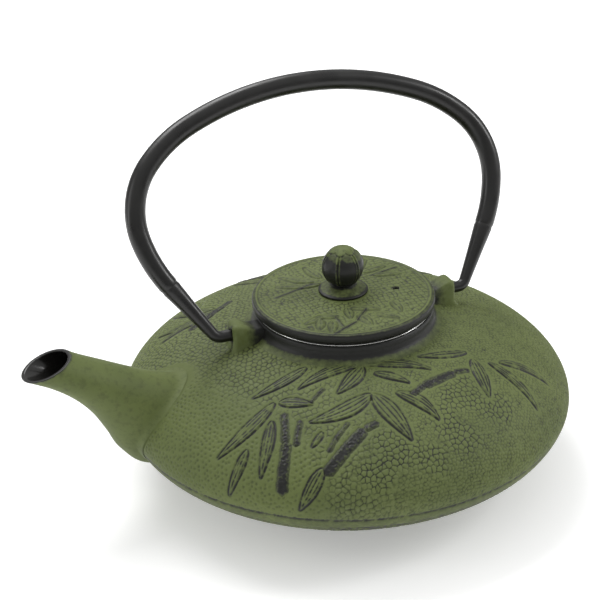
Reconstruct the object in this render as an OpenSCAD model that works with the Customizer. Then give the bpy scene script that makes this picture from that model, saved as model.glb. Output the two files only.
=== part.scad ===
// Cast iron teapot: a low round pot with a bail handle, a lift-off lid with a ball knob
// and a drop-in steel strainer. +Z is up, the spout points to -X, and the origin is the
// centre of the flat underside.

/* [Pot] */
// Widest diameter of the pot
body_d = 190; // [180:1:200]
// Height of the widest line above the table
mid_h = 32; // [31:0.5:34]
// Rise of the shoulder dome above the widest line
shoulder_h = 35.5; // [34:0.5:37]
// Depth of the bowl below the widest line
bowl_h = 32.4; // [31.5:0.1:34]
// Iron wall thickness
wall = 3.5; // [3:0.1:4.5]
// Diameter of the flat foot
foot_d = 88; // [80:1:92]
// Height of the casting seam above the table
seam_z = 28.5; // [28:0.1:30]

/* [Collar] */
// Outside diameter of the collar
collar_d = 74.8; // [74:0.1:76]
// Height of the collar's top face
collar_top = 70.4; // [70:0.1:71]
// Bore of the collar, which takes the strainer
mouth_d = 67; // [66:0.1:68]

/* [Lid] */
// Diameter of the lid
lid_d = 76; // [75:0.1:77]
// Height of the lid's top edge
lid_top = 75.8; // [75.5:0.1:76.5]
// Rise of the lid's top from its edge to its middle
lid_crown = 1.2; // [0.5:0.1:2]
// Thickness of the lid's plate
lid_plate = 3.2; // [3:0.1:3.6]
// Outside diameter of the skirt that centres the lid
skirt_d = 58; // [56:0.5:60]
// Diameter of the steam hole
vent_d = 2.2; // [1.5:0.1:3]
// Distance of the steam hole from the lid's centre
vent_reach = 21.9; // [18:0.1:24]

/* [Knob] */
// Diameter of the knob's ball
knob_d = 17.6; // [16:0.1:19]
// Height of the ball's centre
knob_z = 88; // [87:0.1:89]
// Diameter of the knob's flared foot
knob_foot_d = 20.6; // [19:0.1:22]
// Diameter of the rivet's shank
rivet_d = 5; // [4:0.1:5.5]

/* [Handle] */
// Diameter of the handle tube
tube_d = 8.4; // [7.5:0.1:9]
// Wall of the handle tube
tube_wall = 1.2; // [1:0.1:1.5]
// Diameter of the hooked tips in the lugs
tip_d = 4.8; // [4.5:0.1:5]
// Lean of the handle from upright, away from the viewer
lean = 25.5; // [0:0.5:40]
// Height of the handle's pivot line
pivot_z = 67.2; // [66.5:0.1:67.5]

/* [Lugs] */
// Thickness of each lug, across the pivot line
lug_t = 10; // [9:0.5:12]
// Distance from the pot's axis to each lug's outer face
lug_face = 50; // [49:0.1:51]
// Height of the lugs' top faces
lug_top = 72.6; // [72:0.1:73.5]
// Radial clearance of the handle tips in the lugs
tip_gap = 0.2; // [0.1:0.05:0.3]

/* [Strainer] */
// Diameter of the strainer's flange
flange_d = 73.2; // [72:0.1:74]
// Thickness of the strainer's sheet
sheet = 0.5; // [0.4:0.05:0.6]
// Outside diameter of the strainer's wall
basket_d = 64; // [63:0.1:65]
// Height of the strainer's underside above the table
basket_z = 25; // [24:0.5:30]

/* [Hidden] */

$fn = 96;
body_r = body_d / 2;
collar_r = collar_d / 2;
flange_top = collar_top + sheet;
eps = 0.01;

// ---- pot ----

steps = 9;
// The dome is an ellipse pulled slightly flatter at its rim: z rises with sin to the power 1.1
function dome(r, h) = [for (i = [0:steps]) let (a = 90 * i / steps) [r * cos(a), mid_h + h * pow(sin(a), 1.1)]];
// The bowl is a half ellipse
function bowl(r, h) = [for (i = [0:steps]) let (a = 90 * (1 - i / steps)) [r * cos(a), mid_h - h * sin(a)]];

module pot_outside() {
    rotate_extrude() intersection() {
        union() {
            polygon(concat(bowl(body_r, bowl_h), dome(body_r, shoulder_h)));
            square([foot_d / 2, mid_h]);
            translate([0, mid_h]) square([collar_r, collar_top - mid_h]);
            collar_fillet();
        }
        square([body_r + 1, collar_top]);
    }
}

// Concave fillet where the collar rises from the shoulder
module collar_fillet() {
    fillet = 3.5;
    foot_z = mid_h + shoulder_h * pow(1 - pow(collar_r / body_r, 2), 0.55) - 1;
    difference() {
        translate([collar_r - 1, foot_z - 1]) square([fillet + 1, fillet + 2]);
        translate([collar_r + fillet, foot_z + fillet + 0.8]) circle(fillet);
    }
}

module pot_inside() {
    rotate_extrude() polygon(concat(
        bowl(body_r - wall, bowl_h - wall), dome(body_r - wall, shoulder_h - wall)));
    translate([0, 0, mid_h]) cylinder(d = mouth_d, h = collar_top);
}

// ---- spout ----

// Sections of the spout from the mouth to the root:
// [top x, top z, bottom x, bottom z, half width]
spout_outline = [
    [-115.5, 74.3, -135.4, 67.6, 9.9],
    [-111.5, 71.6, -126, 62.4, 10.2],
    [-102.5, 66.8, -117.5, 55.7, 11],
    [-93.5, 62.2, -110.3, 47, 11.7],
    [-84.5, 58, -105, 37, 12.6],
    [-75, 54.8, -100.5, 27.5, 13.4],
    [-66.5, 52, -91, 18.3, 14],
    [-54, 46, -74, 18, 13]
];
spout_sides = 20;
lip_t = 1.9;
root_t = 3.5;

// One elliptical ring between a top and a bottom point, shrunk by t
function spout_ring(s, t) =
    let (c = [(s[0] + s[2]) / 2, 0, (s[1] + s[3]) / 2],
         h = [(s[0] - s[2]) / 2, 0, (s[1] - s[3]) / 2],
         g = (norm(h) - t) / norm(h))
    [for (k = [0:spout_sides - 1]) let (a = 360 * k / spout_sides) c + h * g * cos(a) + [0, (s[4] - t) * sin(a), 0]];

// Closed skin over a list of rings of equal length
module skin(rings) {
    n = len(rings[0]);
    m = len(rings);
    polyhedron(
        points = [for (ring = rings, p = ring) p],
        faces = concat(
            [[for (k = [n - 1:-1:0]) k]],
            [for (i = [0:m - 2], k = [0:n - 1])
                [i * n + k, (i + 1) * n + (k + 1) % n, (i + 1) * n + k]],
            [for (i = [0:m - 2], k = [0:n - 1])
                [i * n + k, i * n + (k + 1) % n, (i + 1) * n + (k + 1) % n]],
            [[for (k = [0:n - 1]) (m - 1) * n + k]]));
}

module spout_outside() {
    skin([for (s = spout_outline) spout_ring(s, 0)]);
}

module spout_channel() {
    last = len(spout_outline) - 1;
    mouth = spout_outline[0];
    // the channel runs on past the mouth, along the mouth's normal
    run = [mouth[3] - mouth[1], mouth[0] - mouth[2]] / norm([mouth[0] - mouth[2], mouth[1] - mouth[3]]) * 3;
    past = [mouth[0] + run[0], mouth[1] + run[1], mouth[2] + run[0], mouth[3] + run[1], mouth[4]];
    skin(concat([spout_ring(past, lip_t)],
        [for (i = [0:last]) spout_ring(spout_outline[i], lip_t + (root_t - lip_t) * min(1, 2 * i / last))]));
}

// ---- lugs ----

lug_inner = 36;
lug_round = 2;
tip_depth = 8;

module lug() {
    half = lug_t / 2;
    low = 54;
    length = lug_face - lug_inner;
    dip = collar_top - 0.4;
    difference() {
        union() {
            translate([lug_inner, -half, low]) cube([length, lug_t, lug_top - lug_round - low]);
            translate([lug_inner, -half + lug_round, low]) cube([length, lug_t - 2 * lug_round, lug_top - low]);
            for (side = [-1, 1])
                translate([lug_inner, side * (half - lug_round), lug_top - lug_round])
                    rotate([0, 90, 0]) cylinder(r = lug_round, h = length);
        }
        // the top slopes down to the collar, so that the lid's edge passes above it
        translate([0, half + 1, 0]) rotate([90, 0, 0]) linear_extrude(lug_t + 2) polygon([
            [lug_inner - 1, dip], [lug_inner + 4, dip], [lug_face - 2, lug_top],
            [lug_face - 2, lug_top + 1], [lug_inner - 1, lug_top + 1]
        ]);
    }
}

module lug_bore() {
    translate([lug_face - tip_depth, 0, pivot_z]) rotate([0, 90, 0])
        cylinder(d = tip_d + 2 * tip_gap, h = tip_depth + 1);
}

module vessel() {
    color("olivedrab") difference() {
        union() {
            pot_outside();
            spout_outside();
            for (turn = [0, 180]) rotate([0, 0, turn]) lug();
        }
        pot_inside();
        spout_channel();
        for (turn = [0, 180]) rotate([0, 0, turn]) lug_bore();
        // room for the lid's edge beside the lugs
        translate([0, 0, collar_top]) cylinder(r = lid_d / 2 + 0.6, h = 10);
        // seam left by the two mould halves
        rotate_extrude() translate([body_r, seam_z]) circle(r = 1, $fn = 24);
    }
}

// ---- lid and knob ----

lid_edge = 1;
skirt_h = 5;
skirt_t = 2.5;
plate_low = lid_top - lid_plate;

module lid() {
    r = lid_d / 2;
    color("olivedrab") difference() {
        rotate_extrude() {
            // plate with a rim that drops to the strainer's flange and is bevelled outside it
            polygon([
                [0, plate_low], [r - 5.2, plate_low], [r - 5.2, flange_top], [r - 4, flange_top],
                [r, flange_top + 2.3], [r, lid_top - lid_edge], [r - lid_edge * 0.3, lid_top - lid_edge * 0.3],
                [r - lid_edge, lid_top], [r - 10, lid_top + lid_crown * 0.45],
                [r - 22, lid_top + lid_crown * 0.85], [0, lid_top + lid_crown]
            ]);
            translate([skirt_d / 2 - skirt_t, flange_top - skirt_h])
                square([skirt_t, plate_low - flange_top + skirt_h + 1]);
        }
        rotate([0, 0, -18]) translate([vent_reach, 0, flange_top]) cylinder(d = vent_d, h = 10, $fn = 32);
        translate([0, 0, flange_top]) cylinder(d = rivet_d + 0.2, h = 10, $fn = 48);
    }
}

knob_neck_r = 4.4;
knob_foot_z = lid_top + lid_crown;
rivet_in = 7;

module knob() {
    foot_r = knob_foot_d / 2;
    ball_r = knob_d / 2;
    neck_z = knob_z - sqrt(pow(ball_r, 2) - pow(knob_neck_r, 2));
    color("darkolivegreen") difference() {
        union() {
            translate([0, 0, knob_z]) sphere(r = ball_r);
            rotate_extrude() polygon([
                [0, knob_foot_z], [foot_r, knob_foot_z], [foot_r, knob_foot_z + 0.9],
                [foot_r - 2.6, knob_foot_z + 2], [knob_neck_r + 0.5, knob_foot_z + 2.9],
                [knob_neck_r, neck_z], [knob_neck_r, neck_z + 1], [0, neck_z + 1]
            ]);
        }
        translate([0, 0, knob_foot_z - eps]) cylinder(d = rivet_d, h = rivet_in + eps, $fn = 48);
    }
}

washer_t = 0.8;
rivet_head_r = 4.6;

module rivet_washer() {
    color("silver") difference() {
        translate([0, 0, plate_low - washer_t]) cylinder(r = 6.5, h = washer_t);
        translate([0, 0, plate_low - 2]) cylinder(d = rivet_d + 0.2, h = 4, $fn = 48);
    }
}

module knob_rivet() {
    head_z = plate_low - washer_t;
    color("dimgray") {
        translate([0, 0, head_z]) cylinder(d = rivet_d, h = knob_foot_z + rivet_in - head_z, $fn = 48);
        translate([0, 0, head_z - 0.8]) cylinder(r = rivet_head_r, h = 0.8);
        translate([0, 0, head_z - 1.8]) cylinder(r1 = rivet_head_r - 1.6, r2 = rivet_head_r, h = 1);
    }
}

// ---- handle ----

// Half of the bow from its crown outwards, as tangent arcs: [radius, turn]
bow_arcs = [[130, 23], [60, 22], [33, 57], [60, 20]];
// Height of the crown's centre line above the pivot line
crown_h = 96.5;
elbow_r = 4.5;
arc_count = len(bow_arcs);

function polar(r, a) = r * [cos(a), sin(a)];
// Start angle and start point of arc i, each found from the one before it
function arc_angle(i) = i == 0 ? 90 : arc_angle(i - 1) - bow_arcs[i - 1][1];
function arc_centre(i) = arc_start(i) - polar(bow_arcs[i][0], arc_angle(i));
function arc_start(i) =
    i == 0 ? [0, crown_h] : arc_centre(i - 1) + polar(bow_arcs[i - 1][0], arc_angle(i));

// The leg runs straight on from the last arc to an elbow, which turns it along the pivot line
joint_at = arc_start(arc_count);
leg_turn = 90 + arc_angle(arc_count);
corner_x = joint_at[0] - joint_at[1] / tan(leg_turn);
elbow_run = elbow_r * tan(leg_turn / 2);
elbow_end = corner_x - elbow_run;
leg_length = norm(joint_at - [corner_x, 0]) - elbow_run;

// Stations along the handle: [x, height, heading], where the heading is the tube's direction
bow_half = [for (i = [0:arc_count - 1]) let (n = ceil(bow_arcs[i][1] / 8)) for (k = [0:n - 1])
    let (a = arc_angle(i) - bow_arcs[i][1] * k / n) concat(arc_centre(i) + polar(bow_arcs[i][0], a), [a - 90])];
bow_end = concat(joint_at, [leg_turn - 180]);
bow_path = concat(bow_half, [bow_end]);
tube_sides = 16;

// Round ring across the tube at a station
function tube_ring(s, r) =
    let (side = polar(r, s[2] + 90))
    [for (k = [0:tube_sides - 1]) let (a = 360 * k / tube_sides) [s[0], 0, s[1]] +
        [side[0] * cos(a), r * sin(a), side[1] * cos(a)]];

module in_handle_plane() {
    translate([0, 0, pivot_z]) rotate([-lean, 0, 0]) children();
}

// The far half is the near half mirrored, in reverse order
function other_side(s) = [-s[0], s[1], -s[2]];
whole_bow = concat(
    [for (i = [len(bow_path) - 1:-1:1]) other_side(bow_path[i])],
    bow_path);
bow_last = len(whole_bow) - 1;
function moved_on(s, run) = concat([s[0], s[1]] + polar(run, s[2]), [s[2]]);

module bow(r, past = 0) {
    skin([for (i = [0:bow_last])
        tube_ring(moved_on(whole_bow[i], i == 0 ? -past : i == bow_last ? past : 0), r)]);
}

module handle_tube() {
    color("#1c1c1c") in_handle_plane() difference() {
        bow(tube_d / 2);
        bow(tube_d / 2 - tube_wall, past = 1);
    }
}

elbow_cuts = 5;
leg_cuts = 4;
tip_r = tip_d / 2;
// The leg starts inside the tip, a little thinner than it
tuck = 0.2;
leg_path = concat(
    [[elbow_end - 2, 0, 0, tip_r - tuck]],
    [for (k = [0:elbow_cuts]) let (a = leg_turn * k / elbow_cuts)
        concat([elbow_end, elbow_r] + polar(elbow_r, a - 90), [a, tip_r - tuck * (1 - k / elbow_cuts)])],
    [for (k = [1:leg_cuts]) let (f = k / leg_cuts)
        concat(joint_at + polar(leg_length * (1 - f), leg_turn + 180),
            [leg_turn, tip_r + (tube_d / 2 - tip_r) * f])]);

module handle_end() {
    skin([for (s = leg_path) tube_ring(s, s[3])]);
    translate([lug_face - tip_depth + 1, 0, 0]) rotate([0, 90, 0])
        cylinder(r = tip_r, h = elbow_end - lug_face + tip_depth - 1, $fn = 48);
}

module handle_end_back() {
    color("#161616") in_handle_plane() handle_end();
}

module handle_end_spout() {
    color("#161616") in_handle_plane() mirror([1, 0, 0]) handle_end();
}

// ---- strainer ----

basket_r = basket_d / 2;
rim_drop = 9;
ring_h = 4;

module infuser_rim() {
    color("silver") rotate_extrude() {
        translate([basket_r - 0.5, collar_top]) square([flange_d / 2 - basket_r + 0.5, sheet]);
        translate([basket_r, collar_top - rim_drop]) square([sheet, rim_drop + sheet / 2]);
    }
}

module infuser_wall() {
    color("lightgray") difference() {
        translate([0, 0, basket_z + 1]) cylinder(r = basket_r, h = collar_top - 1 - basket_z - 1);
        translate([0, 0, basket_z]) cylinder(r = basket_r - sheet, h = collar_top);
    }
}

module infuser_base_ring() {
    color("silver") rotate_extrude() {
        translate([basket_r, basket_z]) square([sheet, ring_h]);
        translate([basket_r - 3, basket_z]) square([3 + sheet / 2, sheet]);
    }
}

module infuser_base() {
    color("lightgray") translate([0, 0, basket_z + sheet]) cylinder(r = basket_r - sheet, h = sheet);
}

vessel();
lid();
knob();
knob_rivet();
rivet_washer();
handle_tube();
handle_end_spout();
handle_end_back();
infuser_rim();
infuser_wall();
infuser_base_ring();
infuser_base();
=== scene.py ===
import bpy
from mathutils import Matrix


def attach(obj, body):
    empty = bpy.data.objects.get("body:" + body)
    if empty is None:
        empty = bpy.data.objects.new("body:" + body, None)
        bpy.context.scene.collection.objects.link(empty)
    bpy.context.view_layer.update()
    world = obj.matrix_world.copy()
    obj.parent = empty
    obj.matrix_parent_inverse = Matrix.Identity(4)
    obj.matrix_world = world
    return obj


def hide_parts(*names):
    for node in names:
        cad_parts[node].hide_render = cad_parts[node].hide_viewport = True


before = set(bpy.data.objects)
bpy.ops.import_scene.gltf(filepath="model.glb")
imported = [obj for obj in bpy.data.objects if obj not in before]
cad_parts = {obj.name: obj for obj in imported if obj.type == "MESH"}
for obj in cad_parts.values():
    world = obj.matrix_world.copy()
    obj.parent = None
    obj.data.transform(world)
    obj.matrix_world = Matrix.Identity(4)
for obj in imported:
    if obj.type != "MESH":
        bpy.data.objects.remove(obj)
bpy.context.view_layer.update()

import math

import bmesh
import bpy
import numpy as np
from mathutils import Matrix, Vector

print("stage: frame loaded")


view = {
    "aim": (-19.6, -0.8, 76.9),  # mm
    "azimuth": -20.9,
    "elevation": 27.0,
    "roll": -1.95,
    "distance": 553,  # mm
    "lens": 81,
}


def placeCamera(settings):
    # position = aim + distance times the direction given by azimuth and elevation, then a small roll
    azimuth = math.radians(settings["azimuth"])
    elevation = math.radians(settings["elevation"])
    back = Vector((
        math.sin(azimuth) * math.cos(elevation),
        -math.cos(azimuth) * math.cos(elevation),
        math.sin(elevation),
    ))
    right = Vector((math.cos(azimuth), math.sin(azimuth), 0))
    up = back.cross(right)
    roll = math.radians(settings["roll"])
    rolledRight = right * math.cos(roll) + up * math.sin(roll)
    rolledUp = up * math.cos(roll) - right * math.sin(roll)
    place = Vector(settings["aim"]) * 0.001 + back * settings["distance"] * 0.001
    data = bpy.data.cameras.new("camera")
    data.lens = settings["lens"]
    data.clip_start = 0.01
    camera = bpy.data.objects.new("camera", data)
    turn = Matrix((rolledRight, rolledUp, back)).transposed().to_4x4()
    camera.matrix_world = Matrix.Translation(place) @ turn
    bpy.context.scene.collection.objects.link(camera)
    bpy.context.scene.camera = camera


placeCamera(view)


mm = 0.001


def meshFromGrid(name, points, closeAround=True, keep=None, paint=None, material=None, flip=False, poles=()):
    # A quad for each cell of the (rows, columns) grid; the last column joins the first when closeAround.
    # Each row in poles is drawn together to one point.
    rows, columns = points.shape[:2]
    for row in poles:
        points[row] = points[row].mean(axis=0)
    index = np.arange(rows * columns).reshape(rows, columns)
    across = np.roll(index, -1, axis=1) if closeAround else index[:, 1:]
    here = index if closeAround else index[:, :-1]
    quads = np.stack([here[:-1], across[:-1], across[1:], here[1:]], axis=-1)
    if keep is not None:
        quads = quads[keep[:-1, :quads.shape[1]]]
    quads = quads.reshape(-1, 4)
    if flip:
        quads = quads[:, ::-1]
    piece = buildMesh(name, points.reshape(-1, 3), quads, paint, material)
    if poles:
        weldPoints(piece.data)
    return piece


def weldPoints(mesh):
    work = bmesh.new()
    work.from_mesh(mesh)
    bmesh.ops.remove_doubles(work, verts=work.verts, dist=0.001 * mm)
    work.to_mesh(mesh)
    work.free()


def buildMesh(name, points, quads, paint=None, material=None):
    mesh = bpy.data.meshes.new(name)
    used = np.unique(quads)
    remap = np.zeros(len(points), np.int64)
    remap[used] = np.arange(len(used))
    quads = remap[quads]
    mesh.vertices.add(len(used))
    mesh.vertices.foreach_set("co", (points[used] * mm).astype(np.float32).ravel())
    mesh.loops.add(quads.size)
    mesh.loops.foreach_set("vertex_index", quads.astype(np.int32).ravel())
    mesh.polygons.add(len(quads))
    mesh.polygons.foreach_set("loop_start", np.arange(0, quads.size, 4, dtype=np.int32))
    mesh.polygons.foreach_set("loop_total", np.full(len(quads), 4, np.int32))
    mesh.update(calc_edges=True)
    mesh.validate()
    mesh.polygons.foreach_set("use_smooth", np.ones(len(mesh.polygons), bool))
    if paint is not None:
        layer = mesh.attributes.new("paint", "FLOAT_COLOR", "POINT")
        colour = np.ones((len(used), 4), np.float32)
        colour[:, :3] = paint.reshape(-1, 3)[used]
        layer.data.foreach_set("color", colour.ravel())
    piece = bpy.data.objects.new(name, mesh)
    bpy.context.scene.collection.objects.link(piece)
    if material:
        mesh.materials.append(material)
    return piece


def finishPiece(piece, body, slot, *nodes):
    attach(piece, body)
    if nodes:
        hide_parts(*nodes)
    return piece


def smoothStep(low, high, value):
    t = np.clip((value - low) / (high - low), 0, 1)
    return t * t * (3 - 2 * t)


def bump(distance, width):
    # a soft ridge: 1 on the line and close to 0 one and a half widths from it
    return np.exp(-(distance / width) ** 2)


def unit(vectors):
    return vectors / np.maximum(np.linalg.norm(vectors, axis=-1, keepdims=True), 1e-12)


def gridNormals(points, closeAround=True):
    # cross product of the two grid directions at each point, by central differences
    down = np.gradient(points, axis=0)
    if closeAround:
        around = np.roll(points, -1, axis=1) - np.roll(points, 1, axis=1)
    else:
        around = np.gradient(points, axis=1)
    return unit(np.cross(around, down))


def catmullRom(stations, cuts):
    # a smooth curve through the stations, with cuts steps between each pair
    stations = np.asarray(stations, float)
    padded = np.concatenate([stations[:1], stations, stations[-1:]])
    t = (np.arange(cuts) / cuts)[None, :, None]
    a, b, c, d = (padded[i:len(stations) - 1 + i, None] for i in range(4))
    curve = 0.5 * (2 * b + (c - a) * t + (2 * a - 5 * b + 4 * c - d) * t**2 + (3 * b - a - 3 * c + d) * t**3)
    return np.concatenate([curve.reshape(-1, stations.shape[1]), stations[-1:]])


def evenly(path, count):
    # the same path with points at equal steps of its length
    steps = np.linalg.norm(np.diff(path, axis=0), axis=1)
    length = np.concatenate([[0], np.cumsum(steps)])
    at = np.linspace(0, length[-1], count)
    return np.stack([np.interp(at, length, path[:, k]) for k in range(path.shape[1])], axis=-1)


def revolve(profile, columns):
    # each (radius, height) point of the profile is carried round the Z axis
    angle = np.linspace(0, 2 * np.pi, columns, endpoint=False)
    radius = profile[:, 0][:, None]
    height = np.repeat(profile[:, 1][:, None], columns, axis=1)
    return np.stack([radius * np.cos(angle), radius * np.sin(angle), height], axis=-1)


def hash3(cell, salt):
    # a repeatable number from 0 to 1 for each whole-number lattice point
    value = np.sin(cell @ np.array([127.1, 311.7, 74.7]) + salt * 53.3) * 43758.5453
    return value - np.floor(value)


def cells(points, size, seed=0.0, order=1.0):
    # cellular noise in space: nearest and second nearest of one jittered point in each cube of the given size
    scaled = points / size + seed
    base = np.floor(scaled)
    nearest = np.full(len(points), 9.0)
    second = np.full(len(points), 9.0)
    shade = np.zeros(len(points))
    for offset in np.ndindex(3, 3, 3):
        cell = base + np.array(offset) - 1
        jitter = np.stack([hash3(cell, k) for k in (1, 2, 3)], axis=-1)
        centre = cell + 0.5 + (jitter - 0.5) * order
        distance = np.linalg.norm(scaled - centre, axis=1)
        closer = distance < nearest
        second = np.where(closer, nearest, np.minimum(second, distance))
        shade = np.where(closer, jitter[:, 0], shade)
        nearest = np.where(closer, distance, nearest)
    return nearest * size, (second - nearest) * size, shade


def flatCells(plane, size, seed=0.0, order=1.0):
    # the same on a plane, with one jittered point in each square
    scaled = plane / size + seed
    base = np.floor(scaled)
    nearest = np.full(len(plane), 9.0)
    second = np.full(len(plane), 9.0)
    shade = np.zeros(len(plane))
    for offset in np.ndindex(3, 3):
        cell = base + np.array(offset) - 1
        # every second row is moved half a cell along, as bricks are
        shift = np.stack([0.5 * (cell[:, 1] % 2), 0 * cell[:, 0]], axis=-1) - 0.25 * np.array([1, 0])
        key = np.concatenate([cell, 0 * cell[:, :1]], axis=1)
        jitter = np.stack([hash3(key, k) for k in (1, 2)], axis=-1)
        centre = cell + 0.5 + shift * 0.8 + (jitter - 0.5) * order
        distance = np.linalg.norm(scaled - centre, axis=1)
        closer = distance < nearest
        second = np.where(closer, nearest, np.minimum(second, distance))
        shade = np.where(closer, jitter[:, 0], shade)
        nearest = np.where(closer, distance, nearest)
    return nearest * size, (second - nearest) * size, shade


def softNoise(points, size, seed=0.0):
    # smoothed lattice noise from 0 to 1
    scaled = points / size + seed
    base = np.floor(scaled)
    part = scaled - base
    part = part * part * (3 - 2 * part)
    total = np.zeros(len(points))
    for corner in np.ndindex(2, 2, 2):
        weight = np.prod(np.where(np.array(corner) == 1, part, 1 - part), axis=1)
        total += weight * hash3(base + np.array(corner), 7)
    return total


def hexColour(code):
    # sRGB hex to linear
    channels = np.array([int(code[i:i + 2], 16) / 255 for i in (1, 3, 5)])
    linear = np.where(channels <= 0.04045, channels / 12.92, ((channels + 0.055) / 1.055) ** 2.4)
    return (*map(float, linear), 1.0)


def addNode(material, kind, settings=None, links=None):
    # settings are socket values or properties; links are (this socket, other node, its output)
    tree = material.node_tree
    node = tree.nodes.new(kind)
    for key, value in (settings or {}).items():
        if isinstance(key, int) or key in node.inputs:
            node.inputs[key].default_value = value
        else:
            setattr(node, key, value)
    for socket, other, output in links or []:
        tree.links.new(other.outputs[output], node.inputs[socket])
    return node


def newMaterial(name):
    material = bpy.data.materials.new(name)
    material.use_nodes = True
    material.node_tree.nodes.clear()
    return material


def endMaterial(material, shader):
    output = addNode(material, "ShaderNodeOutputMaterial")
    material.node_tree.links.new(shader.outputs[0], output.inputs["Surface"])
    return material


perMetre = 1000.0  # noise scales are features per metre, so perMetre / size in mm


def rubbedIronPaint():
    # Cast iron with matt olive paint rubbed off its raised spots and worn to black iron in its cut lines.
    # A chalky, slightly uneven green with almost no shine, and satin black where the iron shows. The pale colour
    # also serves for painted highlights, and the black for painted shade, where the paint layer puts them.
    look = {
        "green": "#5f6a38", "greenDeep": "#576233", "rubAndSheenColour": "#79815e", "iron": "#151613",
        "patch": 22, "mottle": 2.4, "grit": 0.45,
    }
    m = newMaterial("rubbedIronPaint")
    place = addNode(m, "ShaderNodeTexCoord")
    paint = addNode(m, "ShaderNodeAttribute", {"attribute_name": "paint"})
    split = addNode(m, "ShaderNodeSeparateColor", links=[("Color", paint, "Color")])
    patch = addNode(m, "ShaderNodeTexNoise", {"Scale": perMetre / look["patch"], "Detail": 3.0},
                    [("Vector", place, "Object")])
    mottle = addNode(m, "ShaderNodeTexNoise",
                     {"Scale": perMetre / look["mottle"], "Detail": 4.0, "Roughness": 0.65},
                     [("Vector", place, "Object")])
    grit = addNode(m, "ShaderNodeTexNoise", {"Scale": perMetre / look["grit"], "Detail": 2.0},
                   [("Vector", place, "Object")])
    patchRange = addNode(m, "ShaderNodeMapRange", {"From Min": 0.35, "From Max": 0.65},
                         [("Value", patch, "Fac")])
    green = addNode(m, "ShaderNodeMix", {"data_type": "RGBA", 6: hexColour(look["greenDeep"]),
                                         7: hexColour(look["green"])}, [(0, patchRange, 0)])
    mottleRange = addNode(m, "ShaderNodeMapRange", {"From Min": 0.42, "From Max": 0.72, "To Max": 0.4},
                          [("Value", mottle, "Fac")])
    rubAndSheenShare = addNode(m, "ShaderNodeMath", {"operation": "MULTIPLY"},
                       [(0, mottleRange, 0), (1, split, "Green")])
    rubAndSheenColour = addNode(m, "ShaderNodeMix", {"data_type": "RGBA", 7: hexColour(look["rubAndSheenColour"])},
                     [(0, rubAndSheenShare, 0), (6, green, 2)])
    breakUp = addNode(m, "ShaderNodeMapRange", {"From Min": 0.3, "From Max": 0.7, "To Min": 0.25, "To Max": 0.6},
                      [("Value", mottle, "Fac")])
    above = addNode(m, "ShaderNodeMath", {"operation": "SUBTRACT"}, [(0, split, "Red"), (1, breakUp, 0)])
    inkShare = addNode(m, "ShaderNodeMapRange", {"From Min": -0.33, "From Max": 0.33},
                       [("Value", above, 0)])
    colour = addNode(m, "ShaderNodeMix", {"data_type": "RGBA", 7: hexColour(look["iron"])},
                     [(0, inkShare, 0), (6, rubAndSheenColour, 2)])
    rough = addNode(m, "ShaderNodeMapRange", {"To Min": 0.66, "To Max": 0.44}, [("Value", split, "Red")])
    relief = addNode(m, "ShaderNodeBump", {"Strength": 0.35, "Distance": 0.00012}, [("Height", grit, "Fac")])
    shader = addNode(m, "ShaderNodeBsdfPrincipled", {"IOR": 1.48, "Specular IOR Level": 0.42},
                     [("Base Color", colour, 2), ("Roughness", rough, 0), ("Normal", relief, 0)])
    return endMaterial(m, shader)


def glossEnamel():
    # Vitreous enamel fired onto iron: deep black glass with a faint ripple.
    m = newMaterial("glossEnamel")
    place = addNode(m, "ShaderNodeTexCoord")
    ripple = addNode(m, "ShaderNodeTexNoise", {"Scale": perMetre / 6, "Detail": 1.0},
                     [("Vector", place, "Object")])
    relief = addNode(m, "ShaderNodeBump", {"Strength": 0.25, "Distance": 0.0002}, [("Height", ripple, "Fac")])
    tint = addNode(m, "ShaderNodeMix",
                   {"data_type": "RGBA", 6: hexColour("#141413"), 7: hexColour("#22211f")},
                   [(0, ripple, "Fac")])
    shader = addNode(m, "ShaderNodeBsdfPrincipled", {"Roughness": 0.16, "IOR": 1.52},
                     [("Base Color", tint, 2), ("Normal", relief, 0)])
    return endMaterial(m, shader)


def satinLacquer():
    # Black stoving lacquer on steel tube: satin, with fine orange peel and a few dull rubbed places.
    m = newMaterial("satinLacquer")
    place = addNode(m, "ShaderNodeTexCoord")
    peel = addNode(m, "ShaderNodeTexNoise", {"Scale": perMetre / 1.1, "Detail": 2.0},
                   [("Vector", place, "Object")])
    wear = addNode(m, "ShaderNodeTexNoise", {"Scale": perMetre / 9, "Detail": 5.0},
                   [("Vector", place, "Object")])
    rough = addNode(m, "ShaderNodeMapRange",
                    {"From Min": 0.35, "From Max": 0.7, "To Min": 0.27, "To Max": 0.42},
                    [("Value", wear, "Fac")])
    tint = addNode(m, "ShaderNodeMix",
                   {"data_type": "RGBA", 6: hexColour("#0a0a09"), 7: hexColour("#141311")},
                   [(0, wear, "Fac")])
    relief = addNode(m, "ShaderNodeBump", {"Strength": 0.2, "Distance": 0.0001}, [("Height", peel, "Fac")])
    shader = addNode(m, "ShaderNodeBsdfPrincipled", {"IOR": 1.5},
                     [("Base Color", tint, 2), ("Roughness", rough, 0), ("Normal", relief, 0)])
    return endMaterial(m, shader)


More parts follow.
